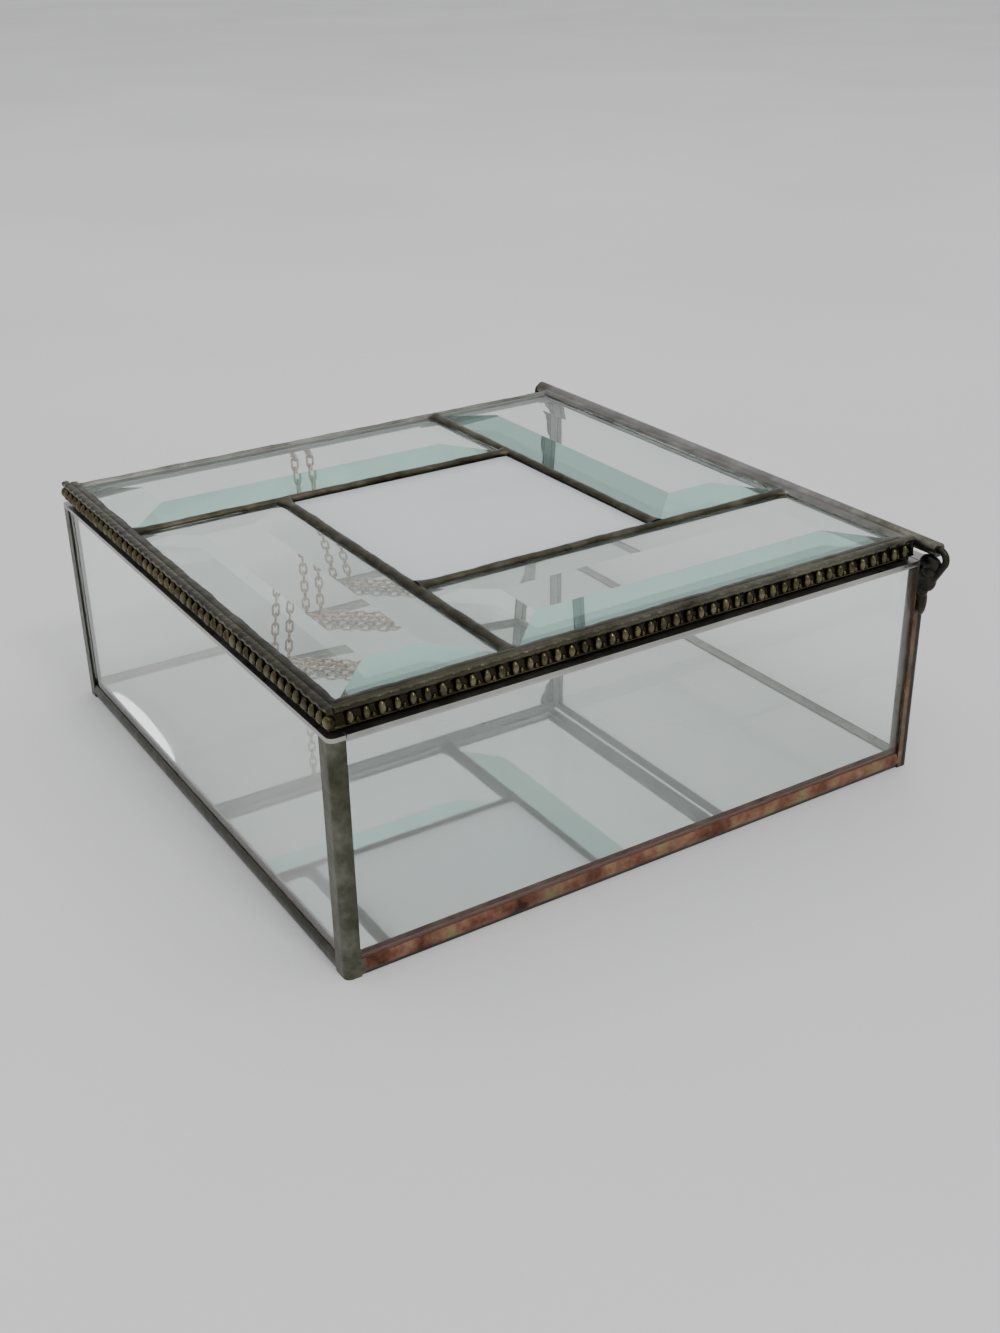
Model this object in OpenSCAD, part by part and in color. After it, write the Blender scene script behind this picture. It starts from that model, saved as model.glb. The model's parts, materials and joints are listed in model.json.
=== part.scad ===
// Keepsake casket of clear glass panes joined with copper foil and solder.
// The lid is a pinwheel of four bevelled panes round an opal centre pane, edged with beaded banding.
// It turns on a tube and a bent wire rod along the back, and a chain stay stops it.
// Millimetres. Origin at the centre of the footprint on the table, +Z up, hinge towards +Y.

/* [Box] */
// Outside width over the corner solder
box_w = 146.6; // [130:0.2:170]
// Outside depth over the corner solder
box_d = 148.5; // [132:0.5:170]
// Height of the rim above the table
box_h = 52.6; // [45:0.2:70]
// Thickness of the side panes
pane_t = 2.4; // [2:0.1:3]
// Height of the mirror's upper face above the table
mirror_top = 3.3; // [2.8:0.1:4]

/* [Foil and solder] */
// Thickness of the copper foil
foil_t = 0.15; // [0.1:0.05:0.2]
// Width of foil folded over each face of a pane
foil_lap = 1; // [0.6:0.1:1.6]
// How far corner posts and bottom seams stand out from the foil
solder_out = 0.45; // [0.3:0.05:0.8]
// Solder under the panes, down to the table
solder_under = 0.5; // [0.3:0.1:0.8]
// Width of a corner post on the front and back
post_wide = 4.35; // [4.2:0.05:5]
// Width of a corner post on the sides
post_side = 3.4; // [3.2:0.1:4.5]
// Rounding of a corner post's outer edge
post_round = 1.5; // [0.8:0.1:2]
// Height of the bottom seams on the outside
seam_h = 3.7; // [2.5:0.1:5]
// Size of the solder fillets inside the box
fillet_r = 1.2; // [0.8:0.1:1.3]
// Height of the tinned rim
rim_h = 0.8; // [0.7:0.1:2.5]
// Thickness of the tinning on the rim
rim_t = 0.4; // [0.2:0.05:0.6]

/* [Lid] */
// Height of the banding round the lid
band_h = 5.55; // [5.2:0.05:6.5]
// Clearance between the rim and the closed lid
lid_gap = 0.05; // [0.02:0.01:0.2]
// Width of the four bevelled panes
bevel_w = 38.1; // [34:0.1:44]
// Width of the sloping band round each bevelled pane
bevel_band = 12.7; // [8:0.1:14]
// Thickness of a bevelled pane at its edge
bevel_edge = 3.4; // [3:0.1:3.6]
// Height of the flat above the edge
bevel_rise = 1.3; // [0.8:0.1:1.8]
// Thickness of the opal centre pane
opal_t = 3; // [2.4:0.1:3.4]
// Depth of the solder below the lid's glass
lid_under = 0.65; // [0.5:0.05:0.8]
// Width of the raised seams between the lid's panes
lid_seam_w = 2.4; // [2.4:0.1:3.4]
// Height of the raised seams above the glass edges they cover
lid_seam_h = 0.9; // [0.6:0.1:1.3]
// Solder inward over the edge of the lid's glass
edge_lap = 1.4; // [1.3:0.1:2]
// Thickness of the bare edge solder on the left, outside the glass
edge_bare = 0.7; // [0.4:0.1:1.2]

/* [Banding] */
// Thickness of the solder between glass and banding
edge_t = 1; // [0.6:0.1:1.2]
// Thickness of the banding's flat strip
strip_t = 1.2; // [0.8:0.1:1.4]
// Height of the banding's flat strip, down from its top
strip_h = 4.5; // [3.6:0.1:4.8]
// Radius of a bead
bead_r = 1.45; // [1.2:0.05:1.5]
// How far a bead stands out from the strip
bead_out = 1.1; // [0.6:0.1:1.2]
// Spacing of the beads
bead_pitch = 3.16; // [3.1:0.02:4]
// Height of the lowest point of the beads above the strip's lower edge
bead_low = 0.25; // [0:0.05:0.4]

/* [Hinge] */
// Outside diameter of the hinge tube
tube_od = 3.2; // [2.8:0.1:3.6]
// Bore of the hinge tube
tube_id = 1.75; // [1.75:0.01:1.8]
// Diameter of the rod in the tube
rod_d = 1.6; // [1.55:0.01:1.64]
// Tube beyond the box at each end
tube_over = 4.3; // [3:0.1:6]
// Distance of the hinge line in from the back
hinge_in = 2.6; // [2.4:0.1:3]
// Distance of the tube's top below the band's top
tube_drop = 0.25; // [0:0.05:0.4]
// Radius of the bend at each end of the rod
bend_r = 2; // [1.6:0.1:3]
// Lean of the rod's legs towards the corner posts, in degrees
leg_lean = 32; // [25:1:38]
// Length of the rod's straight legs
leg_len = 6.8; // [5.5:0.1:8]

/* [Chain] */
// Diameter of the link wire
wire_d = 0.6; // [0.5:0.02:0.64]
// Length of a link
link_len = 3.84; // [3.7:0.02:4.2]
// Width of a link
link_w = 2.3; // [2.2:0.05:2.4]
// Play between two links
link_play = 0.1; // [0.04:0.02:0.2]
// Links in each run lying on the mirror
fold_links = 10; // [6:1:12]
// Direction of the runs on the mirror, in degrees from +X
fold_turn = 52; // [40:1:54]
// Height of the chain above the mirror
chain_lift = 0.25; // [0.1:0.05:0.5]
// Distance of the chain from the box's outer side
chain_in = 5.7; // [5.6:0.1:7]
// Position of the wall run along the left side
wall_run_y = -9; // [-20:0.5:0]
// Distance between the wall run and the lid run
run_gap = 4.4; // [4.2:0.1:6]

/* [Hidden] */
$fn = 48;
eps = 0.01;
hair = 0.002;
far = 400;

// Leaves are panes together with their foil
leaf_t = pane_t + 2 * foil_t;
leaf_x = box_w / 2 - solder_out;
leaf_y = box_d / 2 - solder_out;
in_x = leaf_x - leaf_t;
in_y = leaf_y - leaf_t;
leaf_z0 = solder_under;
leaf_z1 = box_h - rim_t;
backing_t = 0.2;
post_in_x = box_w / 2 - post_wide;
post_in_y = box_d / 2 - post_side;

// Lid, centred on its own glass
lid_z0 = box_h + lid_gap;
lid_top = lid_z0 + band_h;
glass_z = lid_z0 + lid_under;
strip_in = edge_t;
strip_out = edge_t + strip_t;
band_over = 0.4;
hinge_y = box_d / 2 - hinge_in;
hinge_z = lid_top - tube_od / 2 - tube_drop;
hinge_solder = 1.4;
lid_w = box_w - 2 * (strip_out + bead_out);
lid_front = -box_d / 2 - band_over + strip_out + bead_out;
lid_back = hinge_y - tube_od / 2 - hinge_solder;
lid_d = lid_back - lid_front;
lid_y = (lid_back + lid_front) / 2;
piece_gap = 2 * foil_t;
seam_x = lid_w / 2 - bevel_w - foil_t;
seam_y = lid_d / 2 - bevel_w - foil_t;
opal_w = lid_w - 2 * bevel_w - 2 * piece_gap;
opal_d = lid_d - 2 * bevel_w - 2 * piece_gap;
front_len = lid_w - bevel_w - piece_gap;
side_len = lid_d - bevel_w - piece_gap;
seam_z = glass_z + bevel_edge + foil_t;
edge_in = edge_lap;
banded_top = lid_top - 0.15;
bare_top = lid_top - 0.6;
seat = foil_t + hair;

// Hinge
tube_half = box_w / 2 + tube_over;
rod_half = tube_half + 0.2;

// Chain
pitch = link_len - 2 * wire_d - link_play;
tip = link_len / 2 - wire_d / 2;
first = pitch - tip;
ring_r = (link_w - wire_d) / 2;
ring_top_gap = 0.18;
run_top = box_h - ring_top_gap - wire_d / 2 - 2 * ring_r;
fold_z = mirror_top + chain_lift + link_w / 2;
run_links = floor((run_top - fold_z) / pitch + 0.01);
run_x = -box_w / 2 + chain_in;
lid_run_y = wall_run_y - run_gap;
run_low = run_top - run_links * pitch;
last_turn = run_links % 2 == 0 ? 90 - fold_turn : -fold_turn;
link_twist = last_turn / (run_links - 1);

// Colours
clear_c = [0.85, 0.93, 0.92, 0.35];
bevel_c = [0.75, 0.92, 0.90, 0.35];
opal_c = [0.84, 0.80, 0.88];
mirror_c = [0.75, 0.77, 0.80];
backing_c = [0.25, 0.26, 0.28];
copper_c = [0.72, 0.45, 0.34];
solder_c = [0.40, 0.40, 0.36];
dark_c = [0.30, 0.28, 0.22];
brass_c = [0.56, 0.46, 0.26];

// A block given by its two corners
module block(low, high) {
  translate(low)
    cube([high[0] - low[0], high[1] - low[1], high[2] - low[2]]);
}

// Low round bead on the X axis, w wide and h high
module bead_2d(w, h) {
  r = (w * w / 4 + h * h) / (2 * h);
  intersection() {
    translate([0, h - r])
      circle(r, $fn = 96);
    translate([-w / 2, 0])
      square([w, h]);
  }
}

// Concave fillet in the corner of +X and +Y
module fillet_2d(r) {
  difference() {
    square([r, r]);
    translate([r, r])
      circle(r);
  }
}

// Walls and base

module side_leaf(s) {
  block([min(s * leaf_x, s * in_x), -leaf_y, leaf_z0], [max(s * leaf_x, s * in_x), leaf_y, leaf_z1]);
}

module end_leaf(s) {
  block([-in_x, min(s * leaf_y, s * in_y), leaf_z0], [in_x, max(s * leaf_y, s * in_y), leaf_z1]);
}

module base_leaf() {
  block([-in_x, -in_y, leaf_z0], [in_x, in_y, mirror_top + foil_t]);
}

module leaves() {
  side_leaf(-1);
  side_leaf(1);
  end_leaf(-1);
  end_leaf(1);
  base_leaf();
}

module side_glass(s) {
  x0 = in_x + foil_t;
  x1 = leaf_x - foil_t;
  block([min(s * x0, s * x1), -leaf_y + foil_t, leaf_z0 + foil_t],
        [max(s * x0, s * x1), leaf_y - foil_t, leaf_z1 - foil_t]);
}

module end_glass(s) {
  y0 = in_y + foil_t;
  y1 = leaf_y - foil_t;
  block([-in_x + foil_t, min(s * y0, s * y1), leaf_z0 + foil_t],
        [in_x - foil_t, max(s * y0, s * y1), leaf_z1 - foil_t]);
}

module side_foil(s) {
  lap = foil_t + foil_lap;
  difference() {
    side_leaf(s);
    side_glass(s);
    block([min(0, s * far), -leaf_y + lap, leaf_z0 + lap], [max(0, s * far), leaf_y - lap, leaf_z1 - lap]);
  }
}

module end_foil(s) {
  lap = foil_t + foil_lap;
  difference() {
    end_leaf(s);
    end_glass(s);
    block([-in_x + lap, min(0, s * far), leaf_z0 + lap], [in_x - lap, max(0, s * far), leaf_z1 - lap]);
  }
}

module base_plate(z0, z1) {
  block([-in_x + foil_t, -in_y + foil_t, z0], [in_x - foil_t, in_y - foil_t, z1]);
}

module base_mirror() {
  color(mirror_c)
    base_plate(leaf_z0 + foil_t + backing_t, mirror_top);
}

module mirror_backing() {
  color(backing_c)
    base_plate(leaf_z0 + foil_t, leaf_z0 + foil_t + backing_t);
}

module base_foil() {
  lap = foil_t + foil_lap;
  color(copper_c)
    difference() {
      base_leaf();
      base_plate(leaf_z0 + foil_t, mirror_top);
      block([-in_x + lap, -in_y + lap, -far], [in_x - lap, in_y - lap, far]);
    }
}

module front_pane() { color(clear_c) end_glass(-1); }
module back_pane() { color(clear_c) end_glass(1); }
module left_pane() { color(clear_c) side_glass(-1); }
module right_pane() { color(clear_c) side_glass(1); }

module front_foil() { color(copper_c) end_foil(-1); }
module back_foil() { color(copper_c) end_foil(1); }
module left_foil() { color(copper_c) side_foil(-1); }
module right_foil() { color(copper_c) side_foil(1); }

// Corner posts: outer corner bead and inner fillet of one piece of solder

module post_2d() {
  wide = box_w / 2 - post_in_x;
  deep = box_d / 2 - post_in_y;
  difference() {
    translate([post_in_x, post_in_y])
      square([wide, deep]);
    translate([box_w / 2 - post_round, box_d / 2 - post_round])
      difference() {
        square([far, far]);
        circle(post_round);
      }
  }
  translate([in_x, in_y])
    rotate(180)
      fillet_2d(fillet_r);
}

module post_solid(sx, sy) {
  mirror([sx < 0 ? 1 : 0, 0, 0])
    mirror([0, sy < 0 ? 1 : 0, 0])
      linear_extrude(height = box_h)
        post_2d();
}

module post(sx, sy) {
  color(solder_c)
    difference() {
      post_solid(sx, sy);
      leaves();
    }
}

module post_front_left() { post(-1, -1); }
module post_front_right() { post(1, -1); }
module post_back_left() { post(-1, 1); }
module post_back_right() { post(1, 1); }

// Bottom seams, drawn as a section with the wall's foil face at u

module seam_2d(u) {
  inner = u - leaf_t;
  translate([u, seam_h / 2])
    rotate(-90)
      bead_2d(seam_h, solder_out);
  translate([inner - fillet_r, 0])
    square([u - inner + fillet_r, solder_under]);
  translate([inner, mirror_top + foil_t])
    mirror([1, 0])
      fillet_2d(fillet_r);
}

module seam_solid(u, half) {
  rotate([90, 0, 0])
    linear_extrude(height = 2 * half, center = true)
      seam_2d(u);
}

module seam(turn, u, half) {
  color(solder_c)
    difference() {
      rotate([0, 0, turn])
        seam_solid(u, half);
      leaves();
      for (sx = [-1, 1], sy = [-1, 1])
        post_solid(sx, sy);
    }
}

module seam_front() { seam(-90, leaf_y, in_x - fillet_r); }
module seam_back() { seam(90, leaf_y, in_x - fillet_r); }
module seam_left() { seam(180, leaf_x, post_in_y); }
module seam_right() { seam(0, leaf_x, post_in_y); }

// Tinning over the top edges of the walls

module rim(turn, u, half) {
  color(solder_c)
    difference() {
      rotate([0, 0, turn])
        block([u - leaf_t - rim_t, -half, box_h - rim_h], [u + rim_t, half, box_h]);
      leaves();
      for (sx = [-1, 1], sy = [-1, 1])
        post_solid(sx, sy);
    }
}

module rim_front() { rim(-90, leaf_y, post_in_x); }
module rim_back() { rim(90, leaf_y, post_in_x); }
module rim_left() { rim(180, leaf_x, in_y - rim_t - foil_t); }
module rim_right() { rim(0, leaf_x, in_y - rim_t - foil_t); }

// Hinge rod: one wire through the tube, bent down at both ends on to the back posts

leg_top_x = rod_half + bend_r * cos(leg_lean);
leg_top_z = hinge_z - bend_r - bend_r * sin(leg_lean);
leg_end_x = leg_top_x - leg_len * sin(leg_lean);
leg_end_z = leg_top_z - leg_len * cos(leg_lean);

// One length of wire: leg, bend, straight through the tube, bend and leg
module rod_solid() {
  bend = 90 + leg_lean;
  translate([rod_half, hinge_y, hinge_z - bend_r])
    rotate([90, 0, 0])
      rotate([0, 0, -leg_lean]) {
        translate([bend_r, 0, 0])
          rotate([90, 0, 0])
            cylinder(h = leg_len, d = rod_d);
        rod_bend(bend);
        rotate([0, 0, bend]) {
          translate([bend_r, 0, 0])
            rotate([-90, 0, 0])
              cylinder(h = 2 * rod_half, d = rod_d);
          translate([0, 2 * rod_half, 0]) {
            rod_bend(bend);
            rotate([0, 0, bend])
              translate([bend_r, 0, 0])
                rotate([-90, 0, 0])
                  cylinder(h = leg_len, d = rod_d);
          }
        }
      }
}

module rod_bend(angle) {
  rotate_extrude(angle = angle)
    translate([bend_r, 0])
      circle(d = rod_d);
}

module hinge_rod() {
  color(brass_c)
    rod_solid();
}

// Wedge of solder between the corner post and the leg
module rod_joint() {
  wide = 3;
  top = leg_end_z + 4.4;
  low = leg_end_z - 3.2;
  difference() {
    translate([0, hinge_y, 0])
      rotate([90, 0, 0])
        linear_extrude(height = wide, center = true)
          polygon([
            [box_w / 2, top],
            [leg_end_x + 1.9, top - 0.5],
            [leg_end_x + 1.5, leg_end_z + 1.2],
            [leg_end_x + 0.2, leg_end_z - 1.5],
            [box_w / 2, low]
          ]);
    translate([leg_end_x, hinge_y, leg_end_z])
      rotate([0, leg_lean, 0])
        cylinder(h = leg_len, d = rod_d);
  }
}

module rod_joint_right() {
  color(solder_c)
    rod_joint();
}

module rod_joint_left() {
  color(solder_c)
    mirror([1, 0, 0])
      rod_joint();
}

// Rings the chain hangs from, each on a stub of solder

module ring_solid(y) {
  translate([run_x, y, run_top + ring_r])
    rotate([90, 0, 0])
      rotate_extrude()
        translate([ring_r, 0])
          circle(d = wire_d);
}

module wall_ring() {
  stub_d = 1.1;
  color(copper_c) {
    ring_solid(wall_run_y);
    translate([-in_x + rim_t, wall_run_y, run_top + ring_r])
      rotate([0, 90, 0])
        cylinder(h = run_x - ring_r + in_x - rim_t, d = stub_d);
  }
}

module lid_ring() {
  stub_d = 1.1;
  color(copper_c) {
    ring_solid(lid_run_y);
    translate([run_x - ring_r, lid_run_y, run_top + ring_r])
      cylinder(h = lid_z0 - run_top - ring_r, d = stub_d);
  }
}

// Lid glass

module bevel_profile(w, g) {
  flat = w / 2 - bevel_band;
  polygon([
    [-w / 2 - g, -g],
    [w / 2 + g, -g],
    [w / 2 + g, bevel_edge + g],
    [flat, bevel_edge + bevel_rise + g],
    [-flat, bevel_edge + bevel_rise + g],
    [-w / 2 - g, bevel_edge + g]
  ]);
}

// Bevelled pane w by l, grown by g on every face
module bevel_solid(w, l, g) {
  intersection() {
    rotate([90, 0, 0])
      linear_extrude(height = l + 2 * g, center = true)
        bevel_profile(w, g);
    rotate([90, 0, 90])
      linear_extrude(height = w + 2 * g, center = true)
        bevel_profile(l, g);
  }
}

module bevel_at(place, g) {
  across = (lid_w - front_len) / 2;
  along = (lid_d - side_len) / 2;
  side_x = lid_w / 2 - bevel_w / 2;
  end_y = lid_d / 2 - bevel_w / 2;
  translate([0, lid_y, glass_z]) {
    if (place == "front") translate([across, -end_y, 0]) bevel_solid(front_len, bevel_w, g);
    if (place == "back") translate([-across, end_y, 0]) bevel_solid(front_len, bevel_w, g);
    if (place == "left") translate([-side_x, -along, 0]) bevel_solid(bevel_w, side_len, g);
    if (place == "right") translate([side_x, along, 0]) bevel_solid(bevel_w, side_len, g);
  }
}

module opal_at(g) {
  block([-opal_w / 2 - g, lid_y - opal_d / 2 - g, glass_z - g],
        [opal_w / 2 + g, lid_y + opal_d / 2 + g, glass_z + opal_t + g]);
}

module lid_leaves() {
  for (place = ["front", "back", "left", "right"])
    bevel_at(place, seat);
  opal_at(seat);
}

module bevel_glass(place) {
  color(bevel_c)
    bevel_at(place, 0);
}

module bevel_front() { bevel_glass("front"); }
module bevel_right() { bevel_glass("right"); }
module bevel_back() { bevel_glass("back"); }
module bevel_left() { bevel_glass("left"); }

module opal_pane() {
  color(opal_c)
    opal_at(0);
}

module window(w, l, x, y) {
  block([x - w / 2 + foil_lap, y - l / 2 + foil_lap, -far], [x + w / 2 - foil_lap, y + l / 2 - foil_lap, far]);
}

module bevel_foil(place) {
  across = (lid_w - front_len) / 2;
  along = (lid_d - side_len) / 2;
  side_x = lid_w / 2 - bevel_w / 2;
  end_y = lid_d / 2 - bevel_w / 2;
  color(copper_c)
    difference() {
      bevel_at(place, foil_t);
      bevel_at(place, 0);
      if (place == "front") window(front_len, bevel_w, across, lid_y - end_y);
      if (place == "back") window(front_len, bevel_w, -across, lid_y + end_y);
      if (place == "left") window(bevel_w, side_len, -side_x, lid_y - along);
      if (place == "right") window(bevel_w, side_len, side_x, lid_y + along);
    }
}

module bevel_foil_front() { bevel_foil("front"); }
module bevel_foil_right() { bevel_foil("right"); }
module bevel_foil_back() { bevel_foil("back"); }
module bevel_foil_left() { bevel_foil("left"); }

module opal_foil() {
  color(copper_c)
    difference() {
      opal_at(foil_t);
      opal_at(0);
      window(opal_w, opal_d, 0, lid_y);
    }
}

// Raised seams of the pinwheel: each arm runs from an edge to the far corner of the opal pane

module arm_2d() {
  half = lid_seam_w / 2;
  translate([0, seam_z])
    bead_2d(lid_seam_w, lid_seam_h);
  translate([-half, glass_z])
    square([lid_seam_w, seam_z - glass_z]);
  translate([0, glass_z])
    mirror([0, 1])
      bead_2d(lid_seam_w, lid_under);
}

module arm_x(y, x0, x1) {
  translate([x0, lid_y + y, 0])
    rotate([90, 0, 90])
      linear_extrude(height = x1 - x0)
        arm_2d();
}

module arm_y(x, y0, y1) {
  translate([x, lid_y + y1, 0])
    rotate([90, 0, 0])
      linear_extrude(height = y1 - y0)
        arm_2d();
}

module arm_front() {
  color(dark_c)
    difference() {
      arm_y(-seam_x, -lid_d / 2 + edge_in, seam_y - lid_seam_w / 2);
      lid_leaves();
    }
}

module arm_right() {
  color(dark_c)
    difference() {
      arm_x(-seam_y, -seam_x + lid_seam_w / 2, lid_w / 2 - edge_in);
      lid_leaves();
    }
}

module arm_back() {
  color(dark_c)
    difference() {
      arm_y(seam_x, -seam_y + lid_seam_w / 2, lid_d / 2 - edge_in);
      lid_leaves();
    }
}

module arm_left() {
  color(dark_c)
    difference() {
      arm_x(seam_y, -lid_w / 2 + edge_in, seam_x - lid_seam_w / 2);
      lid_leaves();
    }
}

// Solder round the edge of the lid, u measured outward from the glass

module edge_2d(out, top) {
  polygon([
    [-edge_in, lid_z0 + 0.3],
    [-edge_in + 0.3, lid_z0],
    [out, lid_z0],
    [out, top - 0.3],
    [out - 0.3, top],
    [-edge_in + 0.7, top - 0.1],
    [-edge_in, top - 0.6]
  ]);
}

module edge_run(turn, half_u, half_len, out, top) {
  translate([0, lid_y, 0])
    rotate([0, 0, turn])
      rotate([90, 0, 0])
        linear_extrude(height = 2 * half_len, center = true)
          translate([half_u, 0])
            edge_2d(out, top);
}

module edge_front() {
  color(dark_c)
    difference() {
      edge_run(-90, lid_d / 2, lid_w / 2 + edge_t, edge_t, banded_top);
      lid_leaves();
    }
}

module edge_right() {
  color(dark_c)
    difference() {
      edge_run(0, lid_w / 2, lid_d / 2 - edge_in, edge_t, banded_top);
      lid_leaves();
    }
}

module edge_left() {
  color(dark_c)
    difference() {
      edge_run(180, lid_w / 2, lid_d / 2 - edge_in, edge_bare, bare_top);
      lid_leaves();
    }
}

// The back edge also carries the hinge tube
module edge_back() {
  fill_low = 1;
  fill_high = 0.6;
  color(dark_c)
    difference() {
      union() {
        edge_run(90, lid_d / 2, lid_w / 2 + edge_t, edge_t, bare_top);
        block([-lid_w / 2 - edge_t, lid_back + edge_t - eps, hinge_z - fill_low],
              [lid_w / 2 + edge_t, hinge_y, hinge_z + fill_high]);
      }
      lid_leaves();
      tube_core();
    }
}

// Beaded banding on the front and the right side

// Round bead standing on the XY plane
module bead() {
  rotate_extrude($fn = 32)
    intersection() {
      translate([0, bead_out - bead_r])
        circle(bead_r);
      square([bead_r, bead_out]);
    }
}

module band(long) {
  beads = floor((long - bead_pitch / 2) / bead_pitch);
  low = lid_top - strip_h;
  translate([strip_in, -long / 2, low])
    cube([strip_t, long, strip_h]);
  for (i = [0 : beads - 1])
    translate([strip_out, (i - (beads - 1) / 2) * bead_pitch, low + bead_low + bead_r])
      rotate([0, 90, 0])
        bead();
}

module banding_front() {
  color(brass_c)
    translate([0, lid_front, 0])
      rotate([0, 0, -90])
        band(lid_w + 2 * strip_out);
}

module banding_right() {
  color(brass_c)
    translate([lid_w / 2, lid_y, 0])
      band(lid_d + 2 * edge_t);
}

module tube_core() {
  translate([-tube_half, hinge_y, hinge_z])
    rotate([0, 90, 0])
      cylinder(h = 2 * tube_half, d = tube_od);
}

module hinge_tube() {
  color(brass_c)
    difference() {
      tube_core();
      translate([-tube_half - 1, hinge_y, hinge_z])
        rotate([0, 90, 0])
          cylinder(h = 2 * tube_half + 2, d = tube_id);
    }
}

// Chain stay

module link() {
  bow = link_len / 2 - link_w / 2;
  for (s = [0, 180])
    rotate([0, s, 0])
      translate([0, 0, bow])
        rotate([90, 0, 0])
          rotate_extrude(angle = 180)
            translate([ring_r, 0])
              circle(d = wire_d, $fn = 24);
  for (s = [-1, 1])
    translate([s * ring_r, 0, 0])
      cylinder(h = 2 * bow, d = wire_d, center = true, $fn = 24);
}

// Links along +Z from the wire they hang on, each turned a quarter from the last
module run(links, start, twist) {
  color(copper_c)
    for (i = [0 : links - 1])
      translate([0, 0, first + i * pitch])
        rotate([0, 0, start + i * (90 + twist)])
          link();
}

module hanging(y) {
  translate([run_x, y, run_top])
    rotate([180, 0, 0])
      run(run_links, 90, link_twist);
}

module lying(y) {
  translate([run_x, y, run_low])
    rotate([0, 90, fold_turn])
      run(fold_links, 0, 0);
}

module chain_wall() { hanging(wall_run_y); }
module chain_wall_fold() { lying(wall_run_y); }
module chain_lid() { hanging(lid_run_y); }
module chain_lid_fold() { lying(lid_run_y); }

base_mirror();
mirror_backing();
base_foil();
front_pane();
back_pane();
left_pane();
right_pane();
front_foil();
back_foil();
left_foil();
right_foil();
post_front_left();
post_front_right();
post_back_left();
post_back_right();
seam_front();
seam_back();
seam_left();
seam_right();
rim_front();
rim_back();
rim_left();
rim_right();
hinge_rod();
rod_joint_left();
rod_joint_right();
wall_ring();
bevel_front();
bevel_right();
bevel_back();
bevel_left();
opal_pane();
bevel_foil_front();
bevel_foil_right();
bevel_foil_back();
bevel_foil_left();
opal_foil();
arm_front();
arm_right();
arm_back();
arm_left();
edge_front();
edge_right();
edge_back();
edge_left();
banding_front();
banding_right();
hinge_tube();
lid_ring();
chain_wall();
chain_wall_fold();
chain_lid();
chain_lid_fold();
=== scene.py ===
import json
import math

import bmesh
import bpy
from mathutils import Matrix, Quaternion, Vector

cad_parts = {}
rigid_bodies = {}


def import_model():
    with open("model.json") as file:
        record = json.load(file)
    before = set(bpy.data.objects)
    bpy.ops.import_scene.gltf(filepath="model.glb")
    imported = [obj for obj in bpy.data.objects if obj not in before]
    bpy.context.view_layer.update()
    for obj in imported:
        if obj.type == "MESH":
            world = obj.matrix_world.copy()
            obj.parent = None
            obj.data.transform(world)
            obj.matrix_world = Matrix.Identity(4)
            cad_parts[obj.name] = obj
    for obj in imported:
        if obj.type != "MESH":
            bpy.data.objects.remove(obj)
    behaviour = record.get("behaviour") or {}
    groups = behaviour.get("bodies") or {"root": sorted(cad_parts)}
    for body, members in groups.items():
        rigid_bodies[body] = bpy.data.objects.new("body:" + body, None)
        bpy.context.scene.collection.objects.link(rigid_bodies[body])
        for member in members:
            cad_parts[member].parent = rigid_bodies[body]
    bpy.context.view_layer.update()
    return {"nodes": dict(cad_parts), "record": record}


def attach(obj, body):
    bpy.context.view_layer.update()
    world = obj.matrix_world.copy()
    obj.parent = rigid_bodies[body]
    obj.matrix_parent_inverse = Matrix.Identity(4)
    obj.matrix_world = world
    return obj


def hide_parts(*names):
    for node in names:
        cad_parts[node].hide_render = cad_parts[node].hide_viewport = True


for leftover in list(bpy.data.objects):
    bpy.data.objects.remove(leftover)

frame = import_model()
nodes = frame["nodes"]
MM = 0.001


# Camera

def place_camera():
    stand = Vector((289.1, -173.05, 183.0)) * MM
    azimuth, elevation, roll = math.radians(58.068), math.radians(26.331), math.radians(-1.062)
    level = Vector((math.sin(azimuth), -math.cos(azimuth), 0))
    back = level * math.cos(elevation) + Vector((0, 0, math.sin(elevation)))
    ahead = -back
    right = ahead.cross(Vector((0, 0, 1))).normalized()
    up = right.cross(ahead)
    turned_right = right * math.cos(roll) + up * math.sin(roll)
    turned_up = up * math.cos(roll) - right * math.sin(roll)
    data = bpy.data.cameras.new("camera")
    data.sensor_fit = "AUTO"
    data.sensor_width = 36
    data.lens = 41.45
    data.clip_start = 0.01
    data.clip_end = 20
    camera = bpy.data.objects.new("camera", data)
    bpy.context.scene.collection.objects.link(camera)
    turn = Matrix((turned_right, turned_up, back)).transposed().to_4x4()
    camera.matrix_world = Matrix.Translation(stand) @ turn
    bpy.context.scene.camera = camera


# Materials

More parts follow.
